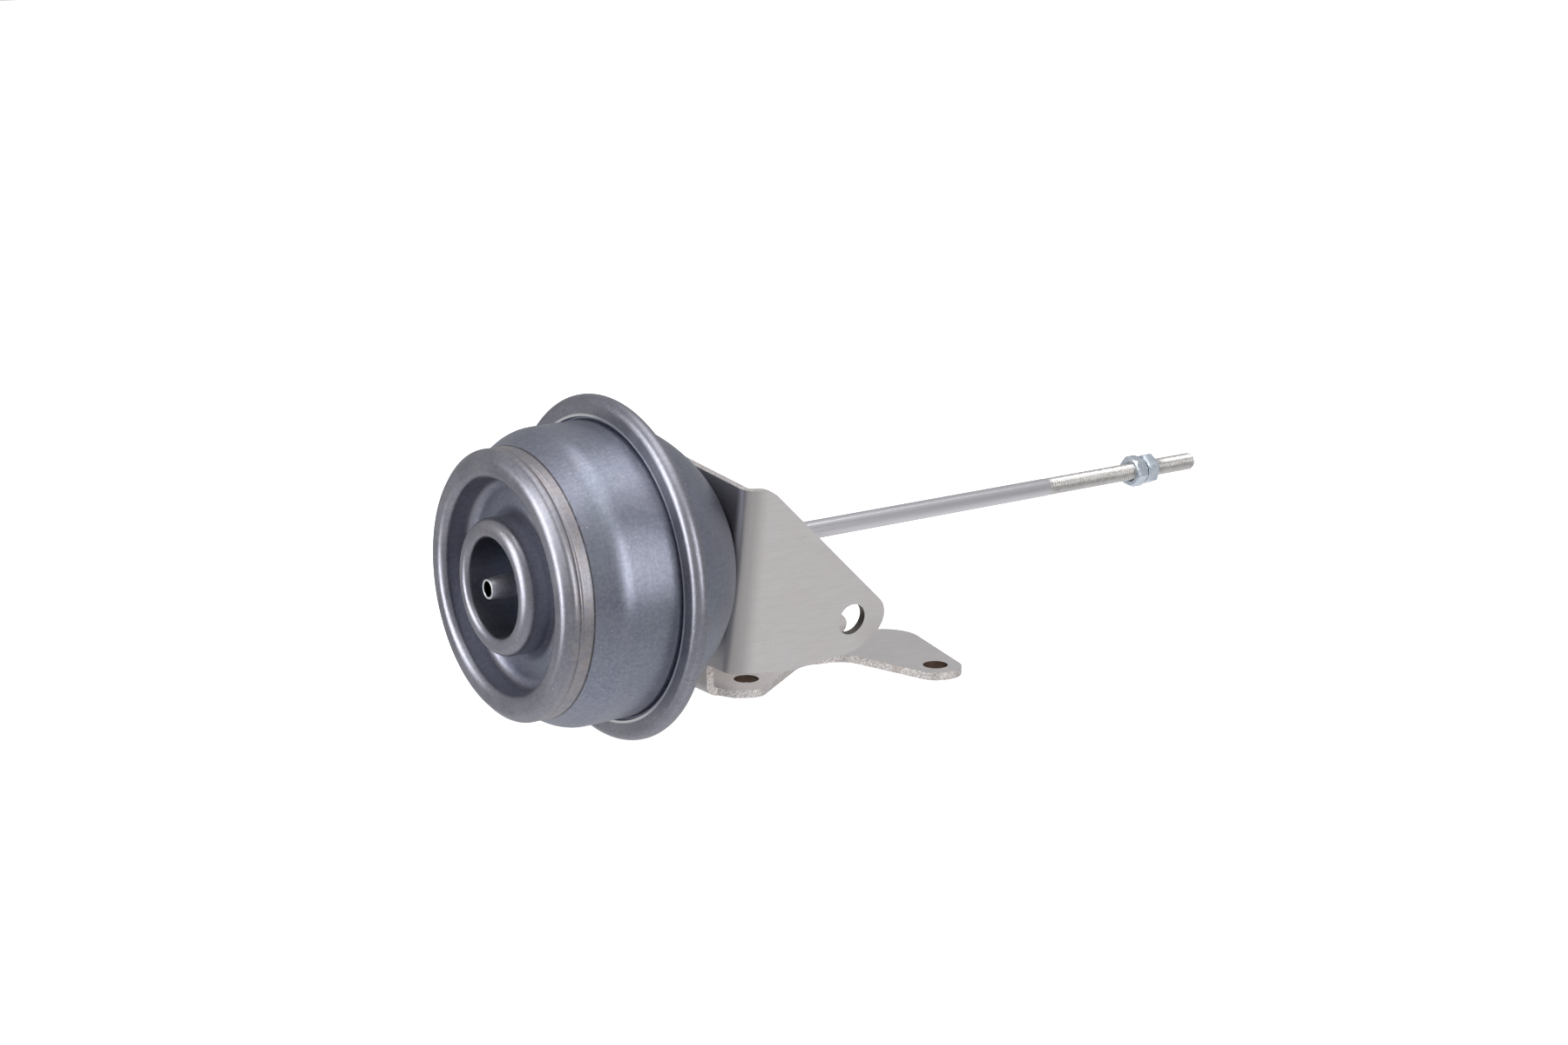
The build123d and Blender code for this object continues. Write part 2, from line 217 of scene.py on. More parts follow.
def new_object(name, mesh, body, slot, *materials):
    """Links a finished mesh, gives it its materials and lets it ride on a body."""
    obj = bpy.data.objects.new(name, mesh)
    bpy.context.scene.collection.objects.link(obj)
    for material in materials:
        mesh.materials.append(material)
    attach(obj, body)
    return obj


def shade_smooth(mesh):
    for polygon in mesh.polygons:
        polygon.use_smooth = True


def mesh_from(name, points, faces, smooth_below=32.0):
    """A mesh from millimetre points, with outward normals, smooth except at sharp edges."""
    mesh = bpy.data.meshes.new(name)
    mesh.from_pydata([tuple(c * MM for c in p) for p in points], [], faces)
    bm = bmesh.new()
    bm.from_mesh(mesh)
    bmesh.ops.recalc_face_normals(bm, faces=bm.faces)
    bm.to_mesh(mesh)
    bm.free()
    shade_smooth(mesh)
    mesh.set_sharp_from_angle(angle=math.radians(smooth_below))
    return mesh


def ring_mesh(name, profile, closed, segments=192, radius_at=None, smooth_below=32.0):
    """Turns a profile of (x, radius) about X. Points on the axis become one vertex.
    radius_at(x, radius, angle) may change a ring's radius round the turn."""
    points, faces, rings = [], [], []
    for x, radius in profile:
        if radius < 1e-6:
            rings.append([len(points)])
            points.append((x, 0.0, 0.0))
            continue
        ring = []
        for k in range(segments):
            angle = 2 * math.pi * k / segments
            r = radius_at(x, radius, angle) if radius_at else radius
            ring.append(len(points))
            points.append((x, r * math.cos(angle), r * math.sin(angle)))
        rings.append(ring)
    pairs = list(zip(rings[:-1], rings[1:]))
    if closed:
        pairs.append((rings[-1], rings[0]))
    for a, b in pairs:
        for k in range(segments):
            j = (k + 1) % segments
            if len(a) == 1 and len(b) == 1:
                break
            if len(a) == 1:
                faces.append((a[0], b[k], b[j]))
            elif len(b) == 1:
                faces.append((a[k], b[0], a[j]))
            else:
                faces.append((a[k], b[k], b[j], a[j]))
    return mesh_from(name, points, faces, smooth_below)


def turned_piece(node, name, profile, segments, slot, material, radius_at=None):
    """A turned piece of the canister that stands for a CAD node."""
    mesh = ring_mesh(name, profile, True, segments, radius_at)
    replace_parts(new_object(name, mesh, "canister", slot, material), node)


# ================================================================ material helpers
class Shader:
    """A short way to write a node material. Values are numbers, colours or other nodes' outputs."""

    def __init__(self, name):
        self.material = bpy.data.materials.new(name)
        self.material.use_nodes = True
        self.tree = self.material.node_tree
        self.tree.nodes.clear()
        self.output = self.tree.nodes.new("ShaderNodeOutputMaterial")
        self.surface = self.tree.nodes.new("ShaderNodeBsdfPrincipled")
        self.tree.links.new(self.surface.outputs[0], self.output.inputs[0])
        place = self.tree.nodes.new("ShaderNodeTexCoord")
        self.place = self.vector("SCALE", place.outputs["Object"], scale=1 / MM)

    def put(self, node, socket, value):
        if isinstance(value, bpy.types.NodeSocket):
            self.tree.links.new(value, node.inputs[socket])
        else:
            node.inputs[socket].default_value = value

    def math(self, operation, a, b=0.0):
        node = self.tree.nodes.new("ShaderNodeMath")
        node.operation = operation
        self.put(node, 0, a)
        self.put(node, 1, b)
        return node.outputs[0]

    def plus(self, a, b):
        return self.math("ADD", a, b)

    def minus(self, a, b):
        return self.math("SUBTRACT", a, b)

    def times(self, a, b):
        return self.math("MULTIPLY", a, b)

    def vector(self, operation, a, b=(0, 0, 0), scale=None):
        node = self.tree.nodes.new("ShaderNodeVectorMath")
        node.operation = operation
        self.put(node, 0, a)
        if operation != "SCALE":
            self.put(node, 1, b)
        if scale is not None:
            self.put(node, "Scale", scale)
        return node.outputs["Value" if operation == "DOT_PRODUCT" else "Vector"]

    def split(self, vector):
        node = self.tree.nodes.new("ShaderNodeSeparateXYZ")
        self.put(node, 0, vector)
        return node.outputs[0], node.outputs[1], node.outputs[2]

    def join(self, x, y, z):
        node = self.tree.nodes.new("ShaderNodeCombineXYZ")
        for i, value in enumerate((x, y, z)):
            self.put(node, i, value)
        return node.outputs[0]

    def round_axis(self):
        """(x, radius, angle) about the X axis, in millimetres and radians."""
        x, y, z = self.split(self.place)
        radius = self.math("SQRT", self.plus(self.times(y, y), self.times(z, z)))
        return x, radius, self.math("ARCTAN2", z, y)

    def noise(self, vector, scale, detail=3.0, roughness=0.55, distortion=0.0):
        node = self.tree.nodes.new("ShaderNodeTexNoise")
        self.put(node, "Vector", vector)
        self.put(node, "Scale", scale)
        self.put(node, "Detail", detail)
        self.put(node, "Roughness", roughness)
        self.put(node, "Distortion", distortion)
        return node.outputs[0]

    def cells(self, vector, scale):
        node = self.tree.nodes.new("ShaderNodeTexVoronoi")
        self.put(node, "Vector", vector)
        self.put(node, "Scale", scale)
        return node.outputs["Distance"]

    def span(self, value, low_in, high_in, low_out=0.0, high_out=1.0):
        """A smooth step of value from low_in to high_in; low_in may be the larger."""
        node = self.tree.nodes.new("ShaderNodeMapRange")
        node.interpolation_type = "SMOOTHSTEP"
        for i, v in enumerate((value, low_in, high_in, low_out, high_out)):
            self.put(node, i, v)
        return node.outputs[0]

    def mix(self, factor, a, b):
        node = self.tree.nodes.new("ShaderNodeMix")
        node.data_type = "RGBA"
        for socket, value in (("Factor", factor), ("A", a), ("B", b)):
            slot = [s for s in node.inputs if s.name == socket and s.enabled][0]
            if isinstance(value, bpy.types.NodeSocket):
                self.tree.links.new(value, slot)
            else:
                slot.default_value = value if socket == "Factor" else (*value, 1.0)
        return [s for s in node.outputs if s.enabled][0]

    def bump(self, height, strength, distance_mm, normal=None):
        node = self.tree.nodes.new("ShaderNodeBump")
        self.put(node, "Height", height)
        self.put(node, "Strength", strength)
        self.put(node, "Distance", distance_mm * MM)
        if normal is not None:
            self.put(node, "Normal", normal)
        return node.outputs[0]

    def finish(self, colour, roughness, metallic=1.0, normal=None, **more):
        self.put(self.surface, "Base Color", colour)
        self.put(self.surface, "Roughness", roughness)
        self.put(self.surface, "Metallic", metallic)
        if normal is not None:
            self.put(self.surface, "Normal", normal)
        for name, value in more.items():
            self.put(self.surface, name.replace("_", " "), value)
        return self.material


def canister_steel(name):
    """Drawn steel: bluish barrel and dome, greyer front and crimp, a scuffed brown band and a painted shade
    in the neck.
    """
    blue_dark, blue_light, blue_green = (0.236, 0.254, 0.322), (0.296, 0.306, 0.376), (0.250, 0.300, 0.345)
    grey_dark, grey_light = (0.262, 0.258, 0.292), (0.330, 0.328, 0.362)
    warm_grey, brown, line_blue = (0.330, 0.290, 0.280), (0.400, 0.345, 0.318), (0.180, 0.190, 0.240)
    pale_blue, rubbed, dust = (0.40, 0.410, 0.470), (0.60, 0.585, 0.57), (0.80, 0.80, 0.80)
    # the near black below is a painted shade for the neck's crease
    crease_shade_black, burnished_highlight = (0.055, 0.050, 0.050), (0.86, 0.86, 0.87)
    s = Shader(name)
    x, radius, angle = s.round_axis()
    cloud = s.noise(s.place, 0.05, 4.0, 0.6, 0.6)
    tint = s.noise(s.vector("ADD", s.place, (41.0, 7.0, 19.0)), 0.035, 3.0, 0.5, 0.8)
    colour = s.mix(s.span(cloud, 0.35, 0.65), blue_dark, blue_light)
    colour = s.mix(s.span(tint, 0.50, 0.70, 0.0, 0.6), colour, blue_green)
    # the pressed front and the crimp are greyer than the barrel and the dome
    hem_radius = 38.0
    crimp_face = s.span(radius, hem_radius, hem_radius + 0.6)
    plain = s.math("MAXIMUM", s.span(x, neck_x + 0.6, neck_x - 0.4), crimp_face)
    grey = s.mix(s.span(cloud, 0.35, 0.65), grey_dark, grey_light)
    colour = s.mix(s.times(plain, 0.9), colour, grey)
    warm = s.noise(s.vector("ADD", s.place, (5.0, 63.0, 11.0)), 0.055, 5.0, 0.65, 1.0)
    colour = s.mix(s.span(warm, 0.54, 0.70, 0.0, 0.45), colour, warm_grey)
    # a brown, patchy band on the bead's plain back part
    along = s.minus(x, cover_front_x)
    blotch = s.noise(s.place, 0.20, 5.0, 0.68, 1.2)
    band = s.times(s.span(along, 2.0, 5.4), s.span(along, 8.7, 8.1))
    band = s.times(band, s.span(radius, 31.0, 33.0))
    patch = s.times(band, s.span(blotch, 0.36, 0.64, 0.15, 0.80))
    colour = s.mix(patch, colour, brown)
    # hairlines run round the turned shape, and along it on the barrel
    rounds = s.noise(s.join(s.times(x, 4.6), s.times(radius, 4.6), s.times(angle, 2.2)), 1.0, 3.0, 0.6)
    drawn = s.noise(s.join(s.times(x, 0.16), 0.0, s.times(angle, 46.0)), 1.0, 4.0, 0.65)
    streak = s.plus(s.times(rounds, 0.5), s.times(drawn, 0.5))
    colour = s.mix(s.span(streak, 0.38, 0.62, 0.0, 0.42), colour, line_blue)
    mottle = s.noise(s.place, 1.3, 3.0, 0.7)
    colour = s.mix(s.span(mottle, 0.38, 0.68, 0.0, 0.38), colour, pale_blue)
    # rubbed marks on the band, small scuffs and dust specks elsewhere
    rub = s.noise(s.join(s.times(x, 1.6), 0.0, s.times(angle, 9.0)), 1.0, 4.0, 0.75, 0.5)
    rub = s.times(s.span(rub, 0.57, 0.68), s.plus(s.times(band, 0.75), 0.25))
    colour = s.mix(s.times(rub, 0.45), colour, rubbed)
    speck = s.span(s.cells(s.place, 0.26), 0.060, 0.030)
    colour = s.mix(s.times(speck, 0.6), colour, dust)
    # painted shade in the neck's crease: a dark, blotchy line where the barrel's taper meets the bead
    neck_shade = s.span(s.math("ABSOLUTE", s.minus(x, neck_x)), 0.34, 0.10)
    neck_shade = s.times(neck_shade, s.span(radius, bead_radius - 0.3, bead_radius - 0.1))
    neck_shade = s.times(neck_shade, s.span(radius, bead_radius + 0.7, bead_radius + 0.4))
    neck_shade = s.times(neck_shade, s.span(blotch, 0.30, 0.55, 0.55, 1.0))
    colour = s.mix(s.times(neck_shade, 0.85), colour, crease_shade_black)
    # the crimp's folded edge is burnished brighter than its face, and brightened further as a painted
    # highlight line
    hem = s.span(radius, hem_radius + 0.9, hem_radius + 0.5)
    hem = s.times(hem, s.span(radius, hem_radius, hem_radius + 0.1))
    hem = s.times(hem, s.span(x, crimp_x - 1.4, crimp_x - 1.6))
    colour = s.mix(hem, colour, burnished_highlight)
    rough = s.plus(s.span(cloud, 0.3, 0.7, 0.34, 0.42), s.times(s.minus(streak, 0.5), 0.12))
    rough = s.minus(rough, s.times(hem, 0.12))
    grain = s.noise(s.place, 2.6, 3.0, 0.7)
    normal = s.bump(grain, 0.18, 0.10)
    return s.finish(colour, rough, 1.0, s.bump(streak, 0.12, 0.20, normal))


def scratched(s, colour, mark_colour, strength):
    """Adds short dark scratches in two directions, in patches."""
    x, y, z = s.split(s.place)
    patches = s.span(s.noise(s.place, 0.10, 2.0, 0.5), 0.50, 0.60)
    for tight_x, tight_z, shift in ((0.30, 7.5, 3.0), (6.0, 0.34, 31.0)):
        where = s.join(s.times(x, tight_x), s.plus(s.times(y, 0.3), shift), s.times(z, tight_z))
        mark = s.times(s.span(s.noise(where, 1.0, 1.0, 0.4), 0.735, 0.785), patches)
        colour = s.mix(s.times(mark, strength), colour, mark_colour)
    return colour


def brushed(
    name, base, dark, rough, stretch, grain_scale=1.6, bump=0.08, warm=None, scratch=0.0, dull=None, bore=None
):
    """Plated or bare steel with fine lines, where stretch gives how tight they are along X, Y and Z.
    dull is the span of X from a painted shade, standing for the dark canister seen in the metal, out to the
    plain metal. Inside the radius bore the metal is painted near black, a painted shade for an unlit bore."""
    s = Shader(name)
    lines = s.noise(s.vector("MULTIPLY", s.place, stretch), 1.0, 4.0, 0.6)
    cloud = s.noise(s.place, 0.12, 3.0, 0.6, 0.4)
    grain = s.noise(s.place, grain_scale, 3.0, 0.7)
    colour = s.mix(s.span(lines, 0.34, 0.66), dark, base)
    colour = s.mix(s.span(cloud, 0.42, 0.68, 0.0, 0.30), colour, warm or dark)
    x, radius = s.round_axis()[:2]
    if dull:
        # painted shade: the metal darkens towards the canister end of this span
        painted_shade_x, plain_x = dull
        colour = s.mix(s.span(x, plain_x, painted_shade_x), colour, tuple(c * 0.62 for c in dark))
    if scratch > 0:
        colour = scratched(s, colour, tuple(c * 0.45 for c in dark), scratch)
    # painted shade: inside this radius the metal is painted near black, for the unlit inside of a bore
    if bore:
        colour = s.mix(s.span(radius, bore + 0.06, bore), colour, (0.012, 0.012, 0.014))
    roughness = s.plus(s.span(lines, 0.3, 0.7, *rough), s.times(s.minus(grain, 0.5), 0.03))
    normal = s.bump(grain, bump, 0.08)
    return s.finish(colour, roughness, 1.0, s.bump(lines, bump, 0.10, normal))


def sheared_edge(name, holes):
    """The broken side of punched sheet: bright flecks, a little rust, and a painted shade of its own in each
    hole's wall.
    holes has a centre, an axis, a radius and a painted shade colour for each."""
    s = Shader(name)
    flecks = s.noise(s.place, 2.2, 4.0, 0.75)
    rust = s.noise(s.place, 0.22, 4.0, 0.65, 0.8)
    colour = s.mix(s.span(flecks, 0.35, 0.66), (0.46, 0.43, 0.41), (0.95, 0.91, 0.89))
    colour = s.mix(s.span(rust, 0.54, 0.72, 0.0, 0.6), colour, (0.50, 0.37, 0.29))
    # painted shade: each hole's wall is darkened in its own colour, as the inside of a hole lies in shade
    for centre, axis, radius, hole_shade in holes:
        across = s.vector("CROSS_PRODUCT", s.vector("SUBTRACT", s.place, centre), axis)
        away = s.math("SQRT", s.vector("DOT_PRODUCT", across, across))
        colour = s.mix(s.span(away, radius + 0.7, radius + 0.3), colour, hole_shade)
    rough = s.span(flecks, 0.3, 0.7, 0.62, 0.30)
    return s.finish(colour, rough, 0.9, s.bump(flecks, 0.55, 0.22))


def rubber(name):
    s = Shader(name)
    grain = s.noise(s.place, 1.4, 4.0, 0.7)
    colour = s.mix(s.span(grain, 0.3, 0.7), (0.012, 0.012, 0.013), (0.032, 0.031, 0.030))
    return s.finish(colour, s.span(grain, 0.3, 0.7, 0.50, 0.68), 0.0, s.bump(grain, 0.2, 0.1))


def polymer(name):
    s = Shader(name)
    grain = s.noise(s.place, 1.1, 4.0, 0.7)
    colour = s.mix(s.span(grain, 0.3, 0.7), (0.045, 0.042, 0.038), (0.085, 0.080, 0.072))
    return s.finish(colour, s.span(grain, 0.3, 0.7, 0.38, 0.52), 0.0, s.bump(grain, 0.12, 0.1))


def zinc_blue(name):
    """Bright pale-blue passivated zinc."""
    s = Shader(name)
    cloud = s.noise(s.place, 0.5, 3.0, 0.6, 0.5)
    grain = s.noise(s.place, 3.2, 3.0, 0.7)
    colour = s.mix(s.span(cloud, 0.35, 0.65), (0.66, 0.74, 0.84), (0.80, 0.86, 0.92))
    rough = s.plus(s.span(cloud, 0.3, 0.7, 0.20, 0.30), s.times(s.minus(grain, 0.5), 0.10))
    return s.finish(colour, rough, 1.0, s.bump(grain, 0.12, 0.06))


def brass(name):
    s = Shader(name)
    cloud = s.noise(s.place, 0.8, 3.0, 0.6, 0.4)
    colour = s.mix(s.span(cloud, 0.3, 0.7), (0.30, 0.25, 0.20), (0.46, 0.38, 0.28))
    return s.finish(colour, s.span(cloud, 0.3, 0.7, 0.34, 0.48), 1.0, s.bump(cloud, 0.3, 0.2))


def near_point(x, height, inward=0.0):
    """A point of the leaning ear's outer face, or further in towards the rod."""
    d = ear_distance - inward
    return (x, -d * lean_cos - height * lean_sin, -d * lean_sin + height * lean_cos)


def near_height(z, inward):
    """The height on the leaning ear at which a point has this z."""
    return (z + (ear_distance - inward) * lean_sin) / lean_cos


# ================================================================ materials
steel_canister = canister_steel("canister_steel")
steel_plain = brushed("plain_steel", (0.56, 0.56, 0.57), (0.42, 0.42, 0.44), (0.30, 0.42), (0.5, 2.5, 2.5))
steel_spring = brushed("spring_steel", (0.34, 0.35, 0.37), (0.22, 0.22, 0.24), (0.30, 0.40), (1.5, 1.5, 1.5))
steel_rod = brushed(
    "rod_steel", (0.80, 0.79, 0.82), (0.70, 0.69, 0.72), (0.20, 0.25), (0.010, 1.1, 1.1),
    grain_scale=3.0, bump=0.0, warm=(0.77, 0.76, 0.78),
)
steel_thread = brushed(
    "thread_steel", (0.74, 0.73, 0.715), (0.60, 0.585, 0.57), (0.26, 0.34), (0.6, 1.2, 1.2), bump=0.0
)
# the nipple's bore is painted near black, a painted shade for its unlit inside
steel_nipple = brushed(
    "nipple_steel", (0.86, 0.86, 0.89), (0.74, 0.74, 0.78), (0.30, 0.38), (3.5, 0.8, 0.8),
    bump=0.02, bore=nipple_bore_radius + 0.05,
)
# the bracket is painted darker next to the canister, a painted shade for the dark canister seen in its metal
nickel = brushed(
    "bracket_nickel", (0.820, 0.792, 0.782), (0.780, 0.752, 0.742), (0.34, 0.39), (0.12, 0.5, 1.7),
    grain_scale=3.4, bump=0.012, warm=(0.780, 0.735, 0.705), scratch=0.65, dull=(back_x + 1.5, back_x + 8.5),
)
# painted shade colours for the walls of the bolt holes, darker and browner, and of the ear's hole
bolt_hole_shade, ear_hole_shade = (0.115, 0.080, 0.060), (0.150, 0.135, 0.125)
hole_walls = [((x, y, 0.0), (0.0, 0.0, 1.0), bolt_hole_radius, bolt_hole_shade) for x, y in bolt_holes]
ear_axis = (0.0, -lean_cos, -lean_sin)
hole_walls.append((near_point(ear_hole_x, ear_hole_height), ear_axis, ear_hole_radius, ear_hole_shade))
sheared = sheared_edge("sheared_edge", hole_walls)
zinc = zinc_blue("nut_zinc")
dark_rubber = rubber("seal_rubber")
bush_polymer = polymer("bush_polymer")
braze_metal = brass("braze_metal")

# ================================================================ front cover
cover_path = rounded(
    [
        (cover_flange_x, 41.0),
        (cover_flange_x, barrel_radius),
        (taper_x, barrel_radius),
        (neck_x, bead_radius),
        (groove_x + groove_half, bead_radius),
        (groove_x, groove_radius),
        (groove_x - groove_half, bead_radius),
        (bead_shoulder_x, bead_radius),
        (bead_front_x, bead_nose_radius),
        (bead_front_x, bead_inner_radius),
        (trough_x, bead_inner_radius),
        (trough_x, ring_radius),
        (ring_front_x, ring_radius),
        (ring_front_x, recess_radius),
        (recess_x, recess_radius),
        (recess_x, nipple_neck_radius),
    ],
    [0.4, 10.0, 0.4, 1.25, 0.7, 1.25, 1.8, 2.6, 2.2, 2.8, 2.8, 2.8, 1.6, 1.5],
)
cover_profile = cover_path + list(reversed(shifted(cover_path, cover_sheet)))
turned_piece("front_cover", "front_cover_shell", cover_profile, 240, "canister", steel_canister)


# ================================================================ rear housing
def dome_at(x):
    return dome_centre_radius + math.sqrt(dome_radius**2 - (x - dome_centre_x) ** 2)


crimp_start, crimp_end = crimp_x - crimp_half, crimp_x + crimp_half
dome_first = crimp_end + 0.75
dome_last = back_x - 1.9
dome = [(x, dome_at(x)) for x in (dome_first + (dome_last - dome_first) * k / 30 for k in range(31))]
crimp_path = rounded(
    [
        (crimp_start, lip_radius),
        (crimp_start, rim_radius),
        (crimp_end, rim_radius),
        (crimp_end, dome_at(crimp_end)),
        dome[1],
    ],
    [2.25, 2.25, 1.0],
)
back_corner = rounded([dome[-2], (back_x, dome_at(back_x)), (back_x, bush_radius)], [3.0])
housing_path = crimp_path[:-1] + dome[2:-3] + back_corner[1:]
housing_inner = shifted(housing_path, -shell_sheet)
lip = edge_round(housing_inner[0], housing_path[0], 0.35)
housing_profile = housing_path + list(reversed(housing_inner)) + lip
turned_piece("rear_housing", "rear_housing_shell", housing_profile, 240, "canister", steel_canister)

# ================================================================ nipple with its braze
barb_start, barb_end = nipple_start + 4.6, nipple_start + 6.4
nipple_profile = rounded(
    [
        (nipple_start + 0.45, nipple_bore_radius),
        (nipple_start, nipple_bore_radius + 0.13),
        (nipple_start, nipple_tip_radius),
        (barb_start, barb_radius),
        (barb_end, barb_radius),
        (barb_end + 0.3, nipple_neck_radius),
        (nipple_end, nipple_neck_radius),
        (nipple_end, nipple_bore_radius),
    ],
    [0.1, 0.12, 1.2, 0.12, 0.15, 0.15],
    step=12.0,
)
turned_piece("vacuum_nipple", "vacuum_nipple_tube", nipple_profile, 96, "nipple_steel", steel_nipple)


def uneven(x, radius, angle):
    """The braze bead's edge wanders a little."""
    if radius < nipple_neck_radius + 0.05:
        return radius
    wave = 0.10 * math.sin(3 * angle + 0.7) + 0.06 * math.sin(7 * angle + 2.0)
    return radius + wave * (radius - nipple_neck_radius) - 0.12


braze_end = high("nipple_braze", 0)
braze_profile = [
    (braze_end, nipple_neck_radius),
    (braze_end, 3.95),
    (braze_end - 0.12, 3.85),
    (braze_end - 0.35, 3.45),
    (braze_end - 0.8, 2.98),
    (braze_end - 1.4, 2.68),
]
turned_piece("nipple_braze", "nipple_braze_bead", braze_profile, 96, "braze", braze_metal, uneven)

# ================================================================ bracket
def flat_patch(outline, holes, place):
    """(points, triangles) of a flat outline with holes, placed in space by place(u, v)."""
    loops = [outline] + holes
    flat = [Vector((u, v, 0.0)) for loop in loops for u, v in loop]
    triangles = tessellate_polygon([[Vector((u, v, 0.0)) for u, v in loop] for loop in loops])
    return [place(p.x, p.y) for p in flat], [tuple(t) for t in triangles]


def bend_strip(place, base, flange, count=12):
    """The curved strip of a bend, from the base's straight edge to the flange's. base and flange have the two
    ends of their edges, and place(x, inward, along) gives a point."""
    points, faces = [], []
    for k in range(count + 1):
        t = k / count
        turn = math.radians(90 * t)
        x = back_x + bend * (1 - math.cos(turn))
        inward = bend * (1 - math.sin(turn))
        for a, b in zip(base, flange):
            points.append(place(x, inward, a + (b - a) * t))
    for k in range(count):
        faces.append((2 * k, 2 * k + 1, 2 * k + 3, 2 * k + 2))
    return points, faces


def joined_patches(patches):
    """All the patches' points and faces in one list each."""
    all_points, all_faces = [], []
    for points, faces in patches:
        first = len(all_points)
        all_points += points
        all_faces += [tuple(first + i for i in face) for face in faces]
    return all_points, all_faces


plate_top_y, plate_top_z = 10.0, 24.0
base_low_z = -31.0
ear_top_x, ear_top_height = crimp_x + 34.6, ear_top - 1.2
ear_low_x, ear_low_height = crimp_x + 44.0, ear_bottom - 2.8
corner = near_point(back_x, ear_top)
top_slope = (plate_top_z - corner[2]) / (plate_top_y - corner[1])
bend_line_y = near_point(back_x, ear_top, bend)[1]
bend_top = near_height(corner[2] + (bend_line_y - corner[1]) * top_slope, bend)
foot_step_z = -ear_distance * lean_sin + ear_bottom * lean_cos
bend_low = near_height(foot_step_z, bend)
ear_start_top = ear_top + (ear_top_height - ear_top) * bend / (ear_top_x - back_x)
ear_start_low = ear_bottom + (ear_low_height - ear_bottom) * bend / (ear_low_x - back_x)
base_outline = rounded_loop(
    [
        near_point(back_x, bend_low, bend)[1:],
        near_point(back_x, bend_top, bend)[1:],
        (plate_top_y, plate_top_z),
        (far_y - bend, far_top),
        (far_y - bend, far_bottom),
        (far_y - bend - 0.4, far_bottom),
        (far_y - bend - 0.4, base_low_z),
        (foot_right, base_low_z),
        (foot_right, under_z + bend),
        (foot_left, under_z + bend),
        (foot_left, foot_step_z),
    ],
    [0, 0, 8.0, 0, 0, 0, 0.5, 0.5, 0, 0, 1.0],
)
rivet_angles = [math.radians(a) for a in (90, 210, 330)]
rivet_places = [(rivet_circle * math.cos(a), rivet_circle * math.sin(a)) for a in rivet_angles]
base_holes = [circle_loop((0, 0), 6.05)] + [circle_loop(p, 2.0, 24) for p in rivet_places]
near_outline = rounded_loop(
    [
        (bend_x, ear_start_low),
        (bend_x, ear_start_top),
        (ear_top_x, ear_top_height),
        (crimp_x + 78.2, -18.4),
        (crimp_x + 67.0, -27.1),
        (ear_low_x, ear_low_height),
    ],
    [0, 0, 8.0, 6.3, 12.0, 20.0],
    step=4.0,
)
near_hole = circle_loop((ear_hole_x, ear_hole_height), ear_hole_radius, 90)
lower_outline = rounded_loop(
    [
        (bend_x, foot_left),
        (crimp_x + 31.5, -10.5),
        (crimp_x + 37.4, -14.0),
        (crimp_x + 61.3, 1.3),
        (crimp_x + 73.6, -2.2),
        (crimp_x + 81.6, -31.0),
        (crimp_x + 92.0, -31.0),
        (crimp_x + 103.2, 11.5),
        (crimp_x + 60.0, foot_right),
        (bend_x, foot_right),
    ],
    [0, 3.0, 4.0, 9.0, 7.0, 6.5, 6.5, 10.0, 30.0, 0],
    step=4.0,
)
far_outline = rounded_loop(
    [(bend_x, far_bottom), (bend_x, far_top), (crimp_x + 41.4, far_top), (crimp_x + 92.5, far_bottom)],
    [0, 0, 8.0, 2.8],
    step=4.0,
)
foot_edge, far_edge = (foot_left, foot_right), (far_bottom, far_top)
lower_holes = [circle_loop(place, bolt_hole_radius) for place in bolt_holes]
bracket_points, bracket_faces = joined_patches(
    [
        flat_patch(base_outline, base_holes, lambda y, z: (back_x, y, z)),
        flat_patch(near_outline, [near_hole], near_point),
        flat_patch(lower_outline, lower_holes, lambda x, y: (x, y, under_z)),
        flat_patch(far_outline, [], lambda x, z: (x, far_y, z)),
        bend_strip(lambda x, i, h: near_point(x, h, i), (bend_low, bend_top), (ear_start_low, ear_start_top)),
        bend_strip(lambda x, i, y: (x, y, under_z + i), foot_edge, foot_edge),
        bend_strip(lambda x, i, z: (x, far_y - i, z), far_edge, far_edge),
    ]
)
bracket_mesh = bpy.data.meshes.new("bracket_sheet")
bracket_mesh.from_pydata([tuple(c * MM for c in p) for p in bracket_points], [], bracket_faces)
bm = bmesh.new()
bm.from_mesh(bracket_mesh)
bmesh.ops.remove_doubles(bm, verts=bm.verts, dist=1e-6)
bmesh.ops.recalc_face_normals(bm, faces=bm.faces)
base_face = max((f for f in bm.faces if abs(f.normal.x) > 0.999), key=lambda f: f.calc_area())
if base_face.normal.x > 0:
    bmesh.ops.reverse_faces(bm, faces=bm.faces)
bm.to_mesh(bracket_mesh)
bm.free()
shade_smooth(bracket_mesh)
bracket = new_object("bracket_sheet", bracket_mesh, "canister", "bracket_nickel", nickel, sheared)
thick = bracket.modifiers.new("thick", "SOLIDIFY")
thick.thickness = sheet * MM
thick.offset = -1.0
thick.use_even_offset = True
thick.material_offset_rim = 1
soft = bracket.modifiers.new("soft", "BEVEL")
soft.width = 0.22 * MM
soft.segments = 3
soft.limit_method = "ANGLE"
soft.angle_limit = math.radians(40)
weighted = bracket.modifiers.new("weighted", "WEIGHTED_NORMAL")
weighted.keep_sharp = True
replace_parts(bracket, "bracket")

